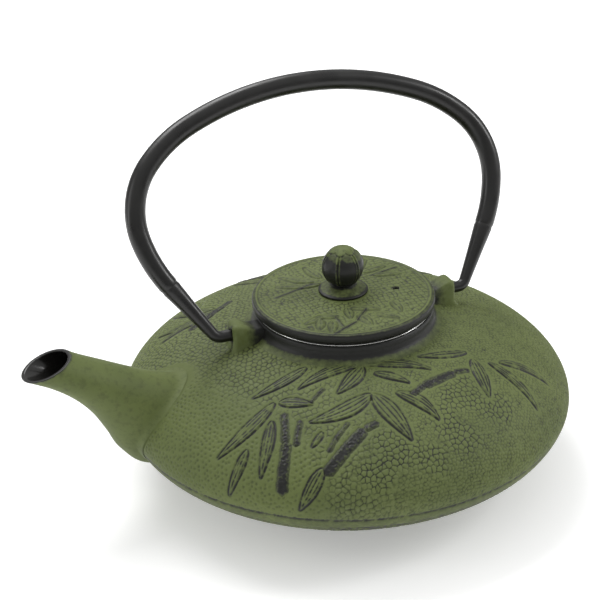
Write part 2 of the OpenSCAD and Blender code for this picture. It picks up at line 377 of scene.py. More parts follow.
def brightStainless():
    # Pressed stainless sheet: bright, with fine brush lines round it.
    m = newMaterial("brightStainless")
    place = addNode(m, "ShaderNodeTexCoord")
    stretch = addNode(m, "ShaderNodeMapping", {"Scale": (1.0, 1.0, 30.0)}, [("Vector", place, "Object")])
    brush = addNode(m, "ShaderNodeTexNoise", {"Scale": perMetre / 5, "Detail": 4.0},
                    [("Vector", stretch, 0)])
    rough = addNode(m, "ShaderNodeMapRange", {"To Min": 0.16, "To Max": 0.34}, [("Value", brush, "Fac")])
    tint = addNode(m, "ShaderNodeMix",
                   {"data_type": "RGBA", 6: hexColour("#d4d4d2"), 7: hexColour("#efefed")},
                   [(0, brush, "Fac")])
    shader = addNode(m, "ShaderNodeBsdfPrincipled", {"Metallic": 1.0},
                     [("Base Color", tint, 2), ("Roughness", rough, 0)])
    return endMaterial(m, shader)


def blackenedSteel():
    # Peened mild steel rivet, blackened by heat: dark grey metal with hammer unevenness.
    m = newMaterial("blackenedSteel")
    place = addNode(m, "ShaderNodeTexCoord")
    dents = addNode(m, "ShaderNodeTexNoise", {"Scale": perMetre / 1.6, "Detail": 2.0},
                    [("Vector", place, "Object")])
    relief = addNode(m, "ShaderNodeBump", {"Strength": 0.5, "Distance": 0.0002}, [("Height", dents, "Fac")])
    tint = addNode(m, "ShaderNodeMix",
                   {"data_type": "RGBA", 6: hexColour("#3a3a3a"), 7: hexColour("#5b5a57")},
                   [(0, dents, "Fac")])
    shader = addNode(m, "ShaderNodeBsdfPrincipled", {"Metallic": 0.9, "Roughness": 0.45},
                     [("Base Color", tint, 2), ("Normal", relief, 0)])
    return endMaterial(m, shader)


ironPaint = rubbedIronPaint()
enamel = glossEnamel()
lacquer = satinLacquer()
stainless = brightStainless()
rivetSteel = blackenedSteel()
print("stage: materials made")


pot = {
    "radius": 95.0, "midHeight": 32.0, "shoulderRise": 35.5, "bowlDepth": 32.4, "wall": 3.5,
    "domePower": 0.55, "footRadius": 44.0, "seamHeight": 28.5,
    "collarRadius": 37.4, "collarTop": 70.4, "mouthRadius": 33.5,
}


def potLevel(points, inset=0.0):
    # below 0 inside the pot's outside, above 0 outside it, zero on the dome and bowl
    radius = pot["radius"] - inset
    rise = pot["shoulderRise"] - inset
    depth = pot["bowlDepth"] - inset
    height = points[..., 2] - pot["midHeight"]
    flat = (points[..., 0] ** 2 + points[..., 1] ** 2) / radius**2
    upper = (np.clip(height, 0, None) / rise) ** (1 / pot["domePower"])
    lower = (np.clip(-height, 0, None) / depth) ** 2
    return flat + upper + lower - 1


def potGradient(points, inset=0.0):
    step = 0.02
    shifts = np.eye(3) * step
    rises = [potLevel(points + shift, inset) - potLevel(points - shift, inset) for shift in shifts]
    return np.stack(rises, axis=-1) / (2 * step)


def ontoPot(points, inset=0.0):
    # Newton steps along the level's gradient until a point lies on the pot's surface
    for _ in range(6):
        slope = potGradient(points, inset)
        points = points - slope * (potLevel(points, inset) / np.sum(slope**2, axis=-1))[..., None]
    return points


def domeProfile(lowRadius, count, inset=0.0):
    # radius R cos a, height rise sin a to the power 2 x domePower, from the widest line up to lowRadius
    angle = np.linspace(0, math.acos(lowRadius / (pot["radius"] - inset)), 600)
    rise = (pot["shoulderRise"] - inset) * np.sin(angle) ** (2 * pot["domePower"])
    profile = np.stack([(pot["radius"] - inset) * np.cos(angle), pot["midHeight"] + rise], axis=-1)
    return evenly(profile, count)


def bowlProfile(lowRadius, count, inset=0.0):
    angle = np.linspace(math.acos(lowRadius / (pot["radius"] - inset)), 0, 600)
    depth = (pot["bowlDepth"] - inset) * np.sin(angle)
    profile = np.stack([(pot["radius"] - inset) * np.cos(angle), pot["midHeight"] - depth], axis=-1)
    return evenly(profile, count)


# distance over the dome from its top to each radius, which unrolls the shoulder for drawing on
unrollAngle = np.linspace(math.pi / 2, 0, 900)
unrollRadius = pot["radius"] * np.cos(unrollAngle)
unrollHeight = pot["shoulderRise"] * np.sin(unrollAngle) ** (2 * pot["domePower"])
unrollReach = np.concatenate([[0], np.cumsum(np.hypot(np.diff(unrollRadius), np.diff(unrollHeight)))])


def unroll(x, y, below=0.0):
    # the plan point moved out to its true distance from the pot's top; below is its drop under the rim
    radius = np.hypot(x, y)
    reach = np.interp(radius, unrollRadius, unrollReach)
    reach = np.where(np.asarray(below) > 0, unrollReach[-1] + below, reach)
    scale = reach / np.maximum(radius, 1e-6)
    return np.stack([x * scale, y * scale], axis=-1)


spout = {
    # top x, top z, bottom x, bottom z, half width, from the mouth to the root
    "sections": [
        (-115.5, 74.3, -135.4, 67.6, 9.9),
        (-111.5, 71.6, -126, 62.4, 10.2),
        (-102.5, 66.8, -117.5, 55.7, 11),
        (-93.5, 62.2, -110.3, 47, 11.7),
        (-84.5, 58, -105, 37, 12.6),
        (-75, 54.8, -100.5, 27.5, 13.4),
        (-66.5, 52, -91, 18.3, 14),
        (-54, 46, -74, 18, 13),
    ],
    "cuts": 24, "around": 168, "lip": 1.4, "wall": 3.5, "fillet": 2.8, "innerFillet": 1.5,
}
spoutCurve = catmullRom(spout["sections"], spout["cuts"])


def spoutAxes(curve):
    # middle of each section and its half depth, both in the X-Z plane
    top, bottom = curve[:, 0:2], curve[:, 2:4]
    return (top + bottom) / 2, (top - bottom) / 2


def spoutLoft(curve, inset):
    # ellipse at each section: centre + half depth x cos + half width x sin, shrunk by the inset
    angle = np.linspace(0, 2 * np.pi, spout["around"], endpoint=False)
    centre, half = spoutAxes(curve)
    depth = np.linalg.norm(half, axis=1)
    reach = (half * ((depth - inset) / depth)[:, None])[:, None] * np.cos(angle)[None, :, None]
    ring = centre[:, None] + reach
    side = (curve[:, 4] - inset)[:, None] * np.sin(angle)
    loft = np.stack([ring[..., 0], side, ring[..., 1]], axis=-1)
    return loft


def spoutLevel(points):
    # 1 on the spout's outside, less inside it, more outside it, in units of the spout's own half depth
    level = np.full(len(points), 9.0)
    centre, half = spoutAxes(spoutCurve)
    depth = np.linalg.norm(half, axis=1)
    axis = half / depth[:, None]
    side = np.stack([-axis[:, 1], axis[:, 0]], axis=-1)
    near = np.where((points[:, 0] < -40) & (np.abs(points[:, 1]) < 50))[0]
    offset = points[near][:, None, [0, 2]] - centre[None]
    along = np.abs(np.sum(offset * side, axis=-1))
    deep = np.sum(offset * axis, axis=-1) / depth
    wide = points[near][:, None, 1] / spoutCurve[:, 4]
    size = np.where(along < 2.5, np.hypot(deep, wide), 9.0)
    level[near] = size.min(axis=1)
    return level


def joinToPot(loft, inset, fillet, lift, straightRows, filletRows):
    # Each lengthwise line of the loft runs to just before the pot's surface. A quadratic curve then turns it
    # onto the surface: from the line, pulled by the crossing point, to a point one fillet further out.
    steps = np.linalg.norm(np.diff(loft, axis=0), axis=-1)
    length = np.concatenate([np.zeros((1, loft.shape[1])), np.cumsum(steps, axis=0)])
    level = potLevel(loft, inset)
    columns = np.arange(loft.shape[1])
    first = np.argmax(level < 0, axis=0)
    share = level[first - 1, columns] / (level[first - 1, columns] - level[first, columns])
    crossAt = length[first - 1, columns] + share * (length[first, columns] - length[first - 1, columns])

    def at(distance):
        return np.stack([
            np.stack([np.interp(distance[:, c], length[:, c], loft[:, c, k]) for k in range(3)], axis=-1)
            for c in columns
        ], axis=1)

    fraction = np.linspace(0, 1, straightRows)[:, None]
    straight = at(fraction * (crossAt - fillet)[None])
    cross = at(crossAt[None])[0]
    middle = cross.mean(axis=0)
    slope = unit(potGradient(cross, inset))
    outward = cross - middle
    outward = unit(outward - slope * np.sum(outward * slope, axis=-1, keepdims=True))
    end = ontoPot(cross + outward * fillet, inset)
    end = end + unit(potGradient(end, inset)) * lift
    t = np.linspace(0, 1, filletRows + 1)[1:, None, None]
    turned = (1 - t) ** 2 * straight[-1] + 2 * t * (1 - t) * cross + t**2 * end
    return np.concatenate([straight, turned])


bamboo = {
    # base and tip in plan, mm from the pot's axis, then width and sideways bend
    "leaves": [
        ((-29, -31), (-55, -35), 4.8, 1.2),
        ((-9, -38), (-38, -41), 5.4, -1.8),
        ((-9, -40), (-25, -50), 6.6, 0.8),
        ((-8, -39), (17, -50), 5.4, 1.8),
        ((-7, -45), (5, -55), 4.2, 0.8),
        ((36, -42), (13, -41), 4.0, 0.8),
        ((36, -46), (33, -67), 6.0, 0.4),
        ((42, -48), (53, -71), 4.8, 2.4),
        ((47, -48), (67, -57), 4.4, 2.6),
        ((-47, -42), (-75, -49), 5.6, 1.8),
        ((-63, -54), (-74, -60), 4.2, 0.6),
        ((-51, -49), (-63, -66), 5.2, 0.6),
        ((-46, -43), (-34, -51), 5.0, 0.5),
        ((-12, -55), (-40, -57), 7.2, 2.6),
        ((-12, -55), (-6, -79), 8.0, 0.5),
        ((-3, -57), (8, -74), 6.0, 2.2),
        ((-36, -63), (-43, -67), 2.6, 0.4),
        ((-41, -75), (-53, -79), 5.6, 0.5),
        ((52, 40), (66, 46), 6.0, 1.0),
        ((40, 44), (56, 60), 6.6, -1.5),
        ((-46, 34), (-70, 44), 6.6, 1.5),
        ((-44, 40), (-58, 60), 6.6, 1.5),
        ((-40, 38), (-72, 34), 6.0, -1.0),
        ((-8, 52), (-26, 70), 7.0, 1.5),
        ((-2, 54), (4, 78), 7.6, -1.0),
        ((4, 50), (26, 68), 6.4, 1.5),
        ((20, 48), (44, 52), 6.0, 1.0),
    ],
    # two ends in plan and the width at each
    "stalks": [
        ((-46, -49), (-50, -60), 2.4, 2.8),
        ((-50, -61), (-57, -73), 3.6, 4.4),
        ((-42, -55), (-47, -63), 1.8, 2.2),
        ((-40, -77), (-22, -69), 4.4, 4.0),
        ((-20.5, -68.5), (-16, -68), 2.6, 2.4),
        ((3, -60), (9, -57), 2.2, 2.4),
        ((10, -57), (24, -53), 3.6, 3.2),
        ((25.5, -52.5), (31, -52), 2.4, 2.0),
        ((-28, -45), (-35, -49), 1.2, 1.0),
        ((-26, -64), (-33, -68), 1.2, 1.4),
        ((-33, -68), (-37, -71), 1.4, 1.4),
        ((-46, 36), (-58, 30), 3.0, 3.6),
        ((-36, 42), (-46, 36), 2.6, 3.0),
        ((4, 50), (-8, 60), 3.2, 3.8),
        ((-9, 61), (-20, 76), 4.0, 4.6),
        ((30, 44), (44, 44), 3.0, 2.6),
        ((46, 44), (60, 52), 3.4, 3.0),
    ],
    # centre in plan and radius of the patches of coarse cells
    "coarse": [
        ((22, -63), 12), ((34, -70), 9), ((8, -74), 9), ((14, -82), 8), ((-12, -79), 11),
        ((-2, -86), 8), ((-24, -84), 9), ((-8, -68), 6), ((24, 60), 14), ((-30, 58), 12),
        ((66, 10), 12), ((-20, 80), 12),
    ],
    "raise": 0.34, "veinCut": 0.22, "edgeCut": 0.36, "clearance": 2.2,
}


def lineShares(plane, start, stop):
    # share of the way from start to stop, distance to the left of that line, and distance past its ends
    length = np.linalg.norm(stop - start)
    along = (stop - start) / length
    offset = plane - start
    share = offset @ along / length
    beyond = np.maximum(np.maximum(-share, share - 1), 0) * length
    return share, offset @ np.array([-along[1], along[0]]), beyond


def drawLeaf(plane, start, stop, width, bend):
    # Half width is half the width x sin(pi t^0.72)^0.85 at share t of a bowed middle line.
    # Gives the depth inside the edge, the distance from the middle line, t and the half width.
    share, side, beyond = lineShares(plane, start, stop)
    t = np.clip(share, 0.0, 1.0)
    side = side - bend * 4 * t * (1 - t)
    half = width / 2 * np.sin(np.pi * t**0.72) ** 0.85
    return half - np.abs(side) - beyond, side, t, half


def drawStalk(plane, start, stop, startWidth, stopWidth, endSlope):
    # depth inside a straight stalk, whose width goes evenly from startWidth to stopWidth
    share, side, beyond = lineShares(plane, start, stop)
    half = (startWidth + (stopWidth - startWidth) * np.clip(share, 0, 1)) / 2
    return half - np.abs(side) - beyond * endSlope


def paintLayer(ink, rubAndSheen):
    # red is how far the paint is worn to black iron, and in some places painted shade; green how far it is
    # rubbed pale, and on the pot's left side also a painted highlight
    return np.stack([ink, np.broadcast_to(rubAndSheen, ink.shape), 0 * ink], axis=-1)


def potRelief(points):
    # height in mm and paint for points of the pot's outside
    count = len(points)
    upper = points[:, 2] > pot["midHeight"] - 1e-6
    plane = unroll(points[:, 0], points[:, 1], pot["midHeight"] - points[:, 2])
    radius = np.hypot(points[:, 0], points[:, 1])
    height = np.zeros(count)
    ink = np.zeros(count)
    closest = np.full(count, -99.0)
    grain = softNoise(points, 0.8, 3.3)
    streak = softNoise(points, 1.7, 6.6)
    wander = (softNoise(points, 5.0, 1.7) - 0.5) * 0.5

    for base, tip, width, bend in bamboo["leaves"]:
        depth, side, t, half = drawLeaf(plane, unroll(*base), unroll(*tip), width, bend)
        depth = depth + wander * 0.5
        closest = np.maximum(closest, depth)
        inner = smoothStep(0.0, 0.7, depth)
        edge = bump(depth - 0.05, 0.48) * smoothStep(0.1, 0.5, half)
        outerVeins = 0.9 * bump(np.abs(side) - 0.5 * half, 0.25) * smoothStep(1.7, 2.3, half)
        veins = bump(side, 0.32) * smoothStep(0.9, 1.5, half) + outerVeins
        veins = veins * inner * smoothStep(0.02, 0.15, t) * (1 - smoothStep(0.85, 0.98, t))
        height = np.where(depth > -1.2, height * (1 - inner) + bamboo["raise"] * inner, height)
        height -= bamboo["edgeCut"] * edge + bamboo["veinCut"] * veins
        broken = smoothStep(0.25, 0.55, 0.5 * grain + 0.5 * streak)
        lines = edge * (0.4 + 0.65 * broken) + veins * (0.15 + 0.85 * broken) + 0.18 * inner * streak
        ink = np.maximum(ink * (1 - inner), np.clip(lines, 0, 1))

    for start, stop, startWidth, stopWidth in bamboo["stalks"]:
        depth = drawStalk(plane, unroll(*start), unroll(*stop), startWidth, stopWidth, 1.5)
        depth = depth + (grain - 0.5) * 0.5
        closest = np.maximum(closest, depth)
        inner = smoothStep(-0.1, 0.5, depth)
        rough = softNoise(points, 0.55, 9.1)
        height = np.where(inner > 0, height * (1 - inner) + inner * (0.2 + 0.45 * (rough - 0.5)), height)
        height -= 0.25 * bump(depth + 0.3, 0.4)
        worn = smoothStep(0.45, 0.8, rough) * 0.35 + 0.3 * bump(depth - 0.5, 0.4)
        ink = np.maximum(ink, np.clip(inner * (1 - worn) + 0.6 * bump(depth + 0.2, 0.4), 0, 1))

    calm = 1 - smoothStep(-bamboo["clearance"], -0.7, closest)
    coarse = np.zeros(count)
    for centre, reach in bamboo["coarse"]:
        gap = np.linalg.norm(plane - unroll(*centre), axis=1)
        coarse = np.maximum(coarse, 1 - smoothStep(reach * 0.6, reach * 1.1, gap + wander * 10))

    seamed = points[:, 2] > pot["seamHeight"]
    _, bowlGap, bowlShade = cells(points, 2.4, 0.31, 0.7)
    _, topGap, topShade = flatCells(plane, 2.3, 11.3, 0.62)
    gap = np.where(seamed, topGap, bowlGap)
    shade = np.where(seamed, topShade, bowlShade)
    _, tightGap, _ = flatCells(plane * np.array([1.0, 1.15]), 1.65, 2.9, 0.8)
    _, wideGap, _ = flatCells(plane, 2.2, 5.2, 0.72)
    wide = smoothStep(0.0, 0.66, wideGap)
    left = smoothStep(5, -45, points[:, 0])
    tight = seamed * (1 - left)
    fine = (1 - tight) * smoothStep(0.0, 0.8, gap) + tight * smoothStep(0.0, 0.6, tightGap)
    # small round dimples instead of pebbles low down beside the spout
    dimpled = smoothStep(-35, -50, points[:, 0]) * smoothStep(60, 74, radius)
    dimpled = dimpled * smoothStep(10, -5, points[:, 1])
    dotFar, _, _ = flatCells(plane, 2.0, 7.7, 0.5)
    dot = smoothStep(0.85, 0.3, dotFar)
    depthHere = 0.26 + 0.09 * left
    band = points[:, 2] - pot["seamHeight"]
    nearSpout = smoothStep(1.12, 1.25, spoutLevel(points))
    plainBand = smoothStep(-5.0, -4.2, band) * (1 - smoothStep(-0.3, 0.4, band))
    collarFade = np.where(upper, smoothStep(40, 42, radius), 1.0)
    amount = calm * nearSpout * (1 - plainBand) * collarFade
    fineHeight = (1 - dimpled) * depthHere * (fine - 0.6) - dimpled * 0.28 * dot
    height += amount * ((1 - coarse) * fineHeight + coarse * 0.33 * (wide - 0.6))
    # painted shade: on the left side the grooves between the pebbles get extra black
    fineInkAndShade = (1 - dimpled) * (1 - fine) * (0.34 + 0.25 * shade + 0.14 * left) + dimpled * dot * 0.27
    lines = (1 - coarse) * fineInkAndShade + coarse * (1 - wide) * (0.4 + 0.35 * grain + 0.35 * streak)
    # painted shade: everything below the seam is made darker, for the bowl that faces down
    ink = np.maximum(ink, amount * lines) + 0.25 * smoothStep(0.5, -1.5, band)
    # painted highlight: raised cells on the left side are made paler, beyond the rubbed wear of the rest
    raised = (1 - coarse) * fine * (0.4 + 0.5 * left) * (1 - dimpled) + coarse * wide * 0.35
    rubAndSheen = amount * raised + 0.15 * (1 - amount)

    seam = bump(band, 0.5) * smoothStep(1.1, 1.25, spoutLevel(points))
    broken = smoothStep(0.22, 0.4, softNoise(points, 1.1, 4.4))
    height -= 0.45 * seam
    ink = np.maximum(ink, seam * (0.35 + 0.65 * broken))
    nearCollar = 1 - smoothStep(38.5, 41.5, radius + (grain - 0.5) * 2)
    ink = np.maximum(ink, 0.8 * nearCollar * upper)
    return np.minimum(height, 0.35) - 0.1, paintLayer(ink, rubAndSheen)


potMesh = {"columns": 1440, "shoulderRows": 224, "bowlRows": 96, "sectors": 4, "sinkUnderSpout": 0.3}


def potSurface(profile, columns):
    points = revolve(profile, columns)
    normals = gridNormals(points)
    outward = np.sign(np.sum(normals[len(points) // 2, 0] * np.array([1.0, 0, 0.2])))
    flat = points.reshape(-1, 3)
    height, paint = potRelief(flat)
    level = spoutLevel(flat)
    height = height - potMesh["sinkUnderSpout"] * (1 - smoothStep(1.0, 1.2, level))
    # the widest line stays inside the pot's true diameter
    rim = bump(flat[:, 2] - pot["midHeight"], 9.0)
    height = height - 0.25 * rim
    moved = flat + normals.reshape(-1, 3) * outward * height[:, None]
    keep = (level > 0.85).reshape(points.shape[:2])
    return moved.reshape(points.shape), paint.reshape(points.shape), keep


def potSectors(name, profile, columns, sectors):
    points, paint, keep = potSurface(profile, columns)
    width = columns // sectors
    made = []
    for sector in range(sectors):
        take = np.arange(sector * width, (sector + 1) * width + 1) % columns
        piece = meshFromGrid(f"{name}_{sector + 1}", points[:, take], False, keep[:, take],
                             paint[:, take], ironPaint)
        made.append(finishPiece(piece, "pot", "pot_iron"))
    return made


collarFootRadius = 41.5
shoulderPieces = potSectors("potShoulder", domeProfile(collarFootRadius - 1.5, potMesh["shoulderRows"]),
                            potMesh["columns"], potMesh["sectors"])
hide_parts("vessel")
potSectors("potBowl", bowlProfile(pot["footRadius"], potMesh["bowlRows"]), potMesh["columns"] * 3 // 4, 3)
print("stage: pot shoulder and bowl done")


def plainPaint(points, ink, rubAndSheen=0.3):
    grain = softNoise(points.reshape(-1, 3), 1.2, 2.2)
    ink = np.broadcast_to(ink, points.shape[:2]).reshape(-1)
    return paintLayer(np.clip(ink + (grain - 0.5) * 0.2 * (ink > 0.05), 0, 1), rubAndSheen)


def potFoot():
    # flat ground foot with a small chamfer, closed at its middle
    edge = pot["footRadius"]
    rim = bowlProfile(edge, 4)[0]
    corners = [(edge + 0.2, rim[1] + 0.3), (edge - 0.2, 1.2), (edge - 1.2, 0.02), (30, 0.02), (0.05, 0.02)]
    profile = evenly(np.array(corners), 40)
    points = revolve(profile, 144)
    paint = plainPaint(points, 0.8)
    piece = meshFromGrid("potFoot", points, True, None, paint, ironPaint, flip=True, poles=[-1])
    finishPiece(piece, "pot", "pot_iron")


def potCollar():
    # concave fillet from the shoulder, upright black band, rounded top and the bore down to the inside
    fillet = 4.6
    foot = domeProfile(collarFootRadius, 4)[-1]
    wall = pot["collarRadius"]
    turn = np.linspace(0, 1, 12)[:, None]
    start = np.array([foot[0], foot[1] - 0.15])
    corner = np.array([wall + 0.2, foot[1] + 1.2])
    stop = np.array([wall, foot[1] + fillet])
    curve = (1 - turn) ** 2 * start + 2 * turn * (1 - turn) * corner + turn**2 * stop
    top = pot["collarTop"]
    bore = pot["mouthRadius"]
    rest = np.array([(wall, top - 0.7), (wall - 0.25, top - 0.2), (wall - 0.8, top), (bore + 0.6, top),
                     (bore + 0.1, top - 0.2), (bore, top - 0.8), (bore, 62.0)])
    profile = np.concatenate([curve, rest])
    points = revolve(profile, 288)
    ink = 0.3 + 0.7 * smoothStep(64.3, 66.3, points[..., 2])
    piece = meshFromGrid("potCollar", points, True, None, plainPaint(points, ink), ironPaint)
    finishPiece(piece, "pot", "pot_iron")


def potLining():
    # the enamelled inside: under the shoulder, round the widest line and across the floor
    inset = pot["wall"]
    upper = domeProfile(pot["mouthRadius"], 50, inset)[::-1]
    lower = bowlProfile(0.3, 60, inset)[::-1]
    profile = np.concatenate([[(pot["mouthRadius"], 63.0)], upper, lower[1:]])
    points = revolve(profile, 240)
    keep = (spoutLevel(points.reshape(-1, 3)) > 0.8).reshape(points.shape[:2])
    piece = meshFromGrid("potLining", points, True, keep, None, enamel, poles=[-1])
    finishPiece(piece, "pot", "pot_iron")


potFoot()
potCollar()
potLining()
print("stage: foot, collar and lining done")


def spoutSkin():
    loft = spoutLoft(spoutCurve, 0.0)
    joined = joinToPot(loft[1:], 0.0, spout["fillet"], -0.12, 90, 26)
    # the lip rolls over within the mouth's plane
    lipRows = np.stack([spoutLoft(spoutCurve[:1], inset)[0] for inset in (0.7, 0.35, 0.1)])
    points = np.concatenate([lipRows, joined])
    rows = len(points)
    flat = points.reshape(-1, 3)
    row = np.repeat(np.arange(rows), points.shape[1])
    chips = smoothStep(0.55, 0.75, softNoise(flat, 2.2, 8.0))
    ink = np.clip(1 - (row - 2.0) / 3, 0, 1) * (0.95 - 0.5 * chips * (row > 1))
    nearRoot = smoothStep(rows - 30, rows, row)
    rubAndSheen = 0.4 * nearRoot
    ink = np.maximum(ink, 0.1)
    piece = meshFromGrid("spoutSkin", points, True, None, paintLayer(ink, rubAndSheen), ironPaint, flip=True)
    finishPiece(piece, "pot", "pot_iron")


def spoutLining():
    # the enamelled channel, from the lip's crest to the pot's inside
    curve = spoutCurve
    last = len(curve) - 1
    grow = np.minimum(1, 2 * np.arange(last + 1) / last)
    rings = np.stack([spoutLoft(curve[i:i + 1], spout["lip"] + (spout["wall"] - spout["lip"]) * grow[i])[0]
                      for i in range(last + 1)])
    joined = joinToPot(rings[1:], pot["wall"], spout["innerFillet"], -0.08, 80, 8)
    lipRows = np.stack([spoutLoft(curve[:1], inset)[0] for inset in (0.7, 1.05, 1.3)])
    points = np.concatenate([lipRows, joined])
    piece = meshFromGrid("spoutLining", points, True, None, None, enamel)
    finishPiece(piece, "pot", "pot_iron")


spoutSkin()
spoutLining()
print("stage: spout done")


lugs = {
    "halfThick": 5.0, "inner": 36.8, "face": 50.0, "top": 72.5, "low": 54.0, "round": 1.6,
    "dip": 69.9, "dipEnd": 40.0, "rampEnd": 48.0, "bore": 2.6, "boreDepth": 7.6, "pivot": 67.2,
    "slotHalf": 0.55, "slotCut": 0.5,
}


def lug(name, turn):
    # Rounded-rectangle outline in the Y-Z plane, carried out along X, rolled over the edge onto the end face,
    # then shrunk to the bore and carried back in.
    count = 120
    angle = np.linspace(0, 2 * np.pi, count, endpoint=False)

    def outline(inset, x):
        # the top slopes down to the collar, so that the lid's edge passes above it
        climbed = float(smoothStep(lugs["dipEnd"], lugs["rampEnd"], x))
        top = lugs["dip"] + (lugs["top"] - lugs["dip"]) * climbed
        middle, tall = (top + lugs["low"]) / 2, (top - lugs["low"]) / 2
        power = 2 / 7
        y = (lugs["halfThick"] - inset) * np.sign(np.sin(angle)) * np.abs(np.sin(angle)) ** power
        z = middle + (tall - inset) * np.sign(np.cos(angle)) * np.abs(np.cos(angle)) ** power
        return y, z

    bulge = lugs["round"]
    roll = np.radians(np.linspace(0, 90, 7)[1:])
    stations = [(x, 0.0) for x in np.linspace(lugs["inner"], lugs["face"] - bulge, 24)]
    stations += [(lugs["face"] - bulge * (1 - math.sin(a)), bulge * (1 - math.cos(a))) for a in roll]
    rings = []
    for x, inset in stations:
        y, z = outline(inset, x)
        low = np.exp(-np.clip(z - 59.5, 0, None) / 1.6)
        rings.append(np.stack([np.full(count, x) + 2.5 * low * (x > 40), y * (1 + 0.4 * low), z], axis=-1))
    y, z = outline(bulge, lugs["face"])
    circleY = lugs["bore"] * np.sin(angle)
    circleZ = lugs["pivot"] + lugs["bore"] * np.cos(angle)
    for share in np.linspace(0, 1, 14)[1:]:
        faceY = y + (circleY - y) * share
        faceZ = z + (circleZ - z) * share
        low = np.exp(-np.clip(faceZ - 59.5, 0, None) / 1.6)
        cut = lugs["slotCut"] * bump(faceY - 1.6, lugs["slotHalf"]) * smoothStep(72.5, 71.2, faceZ)
        rings.append(np.stack([lugs["face"] + 2.5 * low - cut, faceY, faceZ], axis=-1))
    for depth, size in ((0.4, 1), (3.5, 1), (lugs["boreDepth"], 1), (lugs["boreDepth"], 0.02)):
        rings.append(np.stack([np.full(count, lugs["face"] - depth), circleY * size,
                               lugs["pivot"] + (circleZ - lugs["pivot"]) * size], axis=-1))
    points = np.array(rings)
    flat = points.reshape(-1, 3)
    grain = softNoise(flat, 1.1, 5.0)
    # painted shade: the lug is made darker towards its inner end, by the collar and under the lid's edge
    ink = smoothStep(46.0, 38.5, flat[:, 0] + (grain - 0.5) * 2) * 0.85
    onFace = flat[:, 0] > lugs["face"] - 0.6
    fromPivot = np.hypot(flat[:, 1], flat[:, 2] - lugs["pivot"])
    ink = np.maximum(ink, onFace * (0.75 * bump(flat[:, 1] - 1.6, 0.7) + 0.6 * bump(fromPivot - 2.7, 0.6)))
    ink = np.maximum(ink, (flat[:, 0] < lugs["face"] - 1) * (fromPivot < 2.7) * 1.0)
    height = 0.1 * (softNoise(flat, 2.0, 1.0) - 0.5)
    normals = gridNormals(points).reshape(-1, 3)
    flat = flat + normals * height[:, None] * (flat[:, 0] < lugs["face"] - 2)[:, None]
    flat = flat * np.array([turn, turn, 1.0])
    paint = paintLayer(np.clip(ink, 0, 1), 0.7)
    points = flat.reshape(points.shape)
    piece = meshFromGrid(name, points, True, None, paint, ironPaint, flip=True, poles=[-1])
    finishPiece(piece, "pot", "pot_iron")


lug("lugBack", 1)
lug("lugSpout", -1)
print("stage: lugs done")


lidCasting = {
    "radius": 38.0, "top": 75.8, "crown": 1.2, "flange": 70.9, "plateLow": 72.6,
    "skirtRadius": 29.0, "skirtDepth": 5.0,
    "vent": (20.8, -6.8), "ventRadius": 1.25, "columns": 460, "rows": 118,
    "leaves": [
        ((-3, -22), (-1, -32), 4.2, 0.4), ((-16, -17), (-26, -20), 3.6, 0.4),
        ((-18, -19), (-22, -27), 3.8, 0.3), ((-14, -22), (-18, -31), 3.8, 0.2),
        ((-5, -15), (-7, -24), 3.4, 0.3), ((14, -17), (14, -27), 3.6, 0.5),
        ((-4, -16), (8, -22), 3.8, 0.6), ((-10, -20), (-20, -16), 3.0, 0.4),
        ((4, -24), (12, -31), 3.6, 0.3), ((-6, 9), (-25, 16), 5.0, 0.8),
        ((-8, 12), (-20, 25), 4.6, 0.8), ((-4, 14), (-6, 30), 4.4, 0.6),
        ((14, 12), (27, 15), 4.4, 0.6), ((12, 14), (22, 25), 4.4, 0.6), ((17, 8), (30, 5), 4.0, 0.5),
    ],
    "stalks": [
        ((-17, -32), (-6, -27), 1.6, 1.3), ((-5, -26), (2, -19), 1.2, 1.0), ((-28, 6), (-8, 11), 1.4, 1.0),
        ((30, 12), (16, 8), 1.3, 1.0), ((-12, -28), (-12, -20), 1.0, 0.8),
    ],
}


